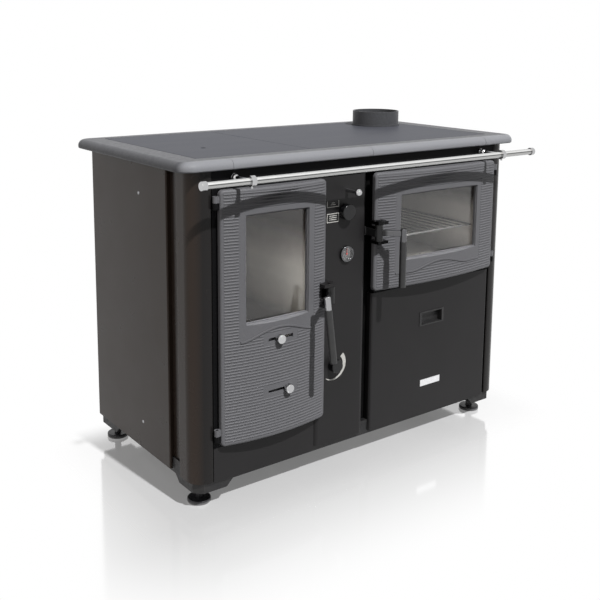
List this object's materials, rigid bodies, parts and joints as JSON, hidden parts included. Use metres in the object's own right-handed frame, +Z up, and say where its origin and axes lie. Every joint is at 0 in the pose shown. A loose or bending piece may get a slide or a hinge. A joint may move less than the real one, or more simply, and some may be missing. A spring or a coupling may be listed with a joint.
{
  "type": "wood cookstove",
  "caption": "Wood-fired cookstove with boiler: glazed fire door, glazed oven door, fuel drawer, control column, cast cooking plates, flue collar and front rail on levelling feet.",
  "frame": {"origin": "on the floor, under the middle of the overall width and depth", "axes": "+X to the right along the front, +Y to the back, +Z up; the doors face -Y"},
  "size_m": [1.15, 0.7154, 0.922],
  "materials": {
    "enamel": "dark warm grey enamel, satin",
    "front_sheet": "dark warm grey enamel, satin",
    "cast_dark": "black-grey cast iron, matt",
    "door_cast": "dark grey cast iron, matt with metallic sheen",
    "rim_cast": "dark cast iron, satin",
    "plate_cast": "ground cast iron, satin",
    "boiler_steel": "black heat-resistant paint",
    "base_steel": "grey painted steel",
    "inner_steel": "plain steel sheet",
    "oven_enamel": "black enamel",
    "brick": "fire brick",
    "rope": "woven ceramic rope",
    "glass_clear": "dark ceramic glass",
    "chrome_bright": "polished chrome",
    "steel_satin": "satin stainless steel",
    "black_steel": "black semi-gloss paint",
    "grip_black": "black heat-resistant plastic",
    "zinc_steel": "zinc plated steel",
    "needle_red": "red paint"
  },
  "bodies": {
    "stove": {"base_frame": "base_steel", "right_corner_post": "enamel", "left_corner_post": "enamel", "right_side_panel": "enamel", "left_side_panel": "enamel", "centre_column": "front_sheet", "plinth_panel": "front_sheet", "fascia_panel": "front_sheet", "back_panel": "inner_steel", "rim_right_end": "rim_cast", "rim_left_end": "rim_cast", "rim_bars": "rim_cast", "hotplate_left": "plate_cast", "hotplate_right": "plate_cast", "flue_collar": "rim_cast", "boiler_shell": "boiler_steel", "water_sockets": "zinc_steel", "fire_grate": "cast_dark", "firebox_lining": "brick", "ash_pan": "inner_steel", "firebox_front_frame": "cast_dark", "oven_carcass": "inner_steel", "oven_box": "oven_enamel", "oven_rack": "chrome_bright", "drawer_runners": "zinc_steel", "latch_strikers": "black_steel", "thermometer_case": "chrome_bright", "thermometer_glass": "glass_clear", "towel_rail": "chrome_bright", "rail_end_caps": "chrome_bright", "rail_brackets": "chrome_bright"},
    "fire_door_body": {"firebox_door": "door_cast", "firebox_glass": "glass_clear", "firebox_glass_clips": "zinc_steel", "firebox_door_seal": "rope", "firebox_latch_bracket": "black_steel"},
    "fire_handle_body": {"firebox_handle_lever": "steel_satin", "firebox_handle_grip": "grip_black"},
    "upper_air_body": {"upper_air_slide": "chrome_bright"},
    "lower_air_body": {"lower_air_slide": "chrome_bright"},
    "oven_door_body": {"oven_door": "door_cast", "oven_glass": "glass_clear", "oven_glass_clips": "zinc_steel", "oven_door_seal": "rope", "oven_latch_bracket": "black_steel"},
    "oven_handle_body": {"oven_handle_lever": "steel_satin", "oven_handle_grip": "grip_black"},
    "drawer_body": {"drawer_front": "front_sheet", "drawer_box": "inner_steel", "drawer_pull": "grip_black", "badge_plate": "chrome_bright"},
    "damper_body": {"damper_rod": "chrome_bright"},
    "regulator_body": {"regulator_knob": "grip_black"},
    "draught_body": {"draught_knob": "grip_black"},
    "needle_body": {"thermometer_needle": "needle_red"},
    "foot_front_left_body": {"foot_front_left": "zinc_steel"},
    "foot_front_right_body": {"foot_front_right": "zinc_steel"},
    "foot_rear_left_body": {"foot_rear_left": "zinc_steel"},
    "foot_rear_right_body": {"foot_rear_right": "zinc_steel"}
  },
  "joints": [
    {"name": "fire_door_hinge", "type": "hinge", "parent": "stove", "child": "fire_door_body", "pos_m": [-0.484, -0.24828, 0.486], "axis": [0, 0, -1], "range_deg": [0, 110]},
    {"name": "fire_handle_pivot", "type": "hinge", "parent": "fire_door_body", "child": "fire_handle_body", "pos_m": [-0.156, -0.27528, 0.505], "axis": [0, 0, 1], "range_deg": [0, 30]},
    {"name": "upper_air_slider", "type": "slide", "parent": "fire_door_body", "child": "upper_air_body", "axis": [1, 0, 0], "range_m": [-0.0275, 0.0385]},
    {"name": "lower_air_slider", "type": "slide", "parent": "fire_door_body", "child": "lower_air_body", "axis": [1, 0, 0], "range_m": [-0.0535, 0.0125]},
    {"name": "oven_door_hinge", "type": "hinge", "parent": "stove", "child": "oven_door_body", "pos_m": [0.484, -0.24828, 0.643], "axis": [0, 0, 1], "range_deg": [0, 110]},
    {"name": "oven_handle_pivot", "type": "hinge", "parent": "oven_door_body", "child": "oven_handle_body", "pos_m": [0.006, -0.27528, 0.648], "axis": [0, 0, -1], "range_deg": [0, 30]},
    {"name": "drawer_slide", "type": "slide", "parent": "stove", "child": "drawer_body", "axis": [0, -1, 0], "range_m": [0, 0.33]},
    {"name": "damper_pull", "type": "slide", "parent": "stove", "child": "damper_body", "axis": [0, 1, 0], "range_m": [0, 0.032]},
    {"name": "regulator_turn", "type": "hinge", "parent": "stove", "child": "regulator_body", "pos_m": [-0.086, -0.24328, 0.711], "axis": [0, -1, 0], "range_deg": [0, 270]},
    {"name": "draught_turn", "type": "hinge", "parent": "stove", "child": "draught_body", "pos_m": [-0.118, -0.24328, 0.298], "axis": [0, -1, 0], "range_deg": [0, 270]},
    {"name": "thermometer_swing", "type": "hinge", "parent": "stove", "child": "needle_body", "pos_m": [-0.08, -0.24528, 0.597], "axis": [0, 1, 0], "range_deg": [-120, 120]},
    {"name": "foot_front_left_screw", "type": "hinge", "parent": "stove", "child": "foot_front_left_body", "pos_m": [-0.494, -0.17528, 0], "axis": [0, 0, 1], "continuous": true},
    {"name": "foot_front_right_screw", "type": "hinge", "parent": "stove", "child": "foot_front_right_body", "pos_m": [0.494, -0.17528, 0], "axis": [0, 0, 1], "continuous": true},
    {"name": "foot_rear_left_screw", "type": "hinge", "parent": "stove", "child": "foot_rear_left_body", "pos_m": [-0.494, 0.29172, 0], "axis": [0, 0, 1], "continuous": true},
    {"name": "foot_rear_right_screw", "type": "hinge", "parent": "stove", "child": "foot_rear_right_body", "pos_m": [0.494, 0.29172, 0], "axis": [0, 0, 1], "continuous": true}
  ]
}
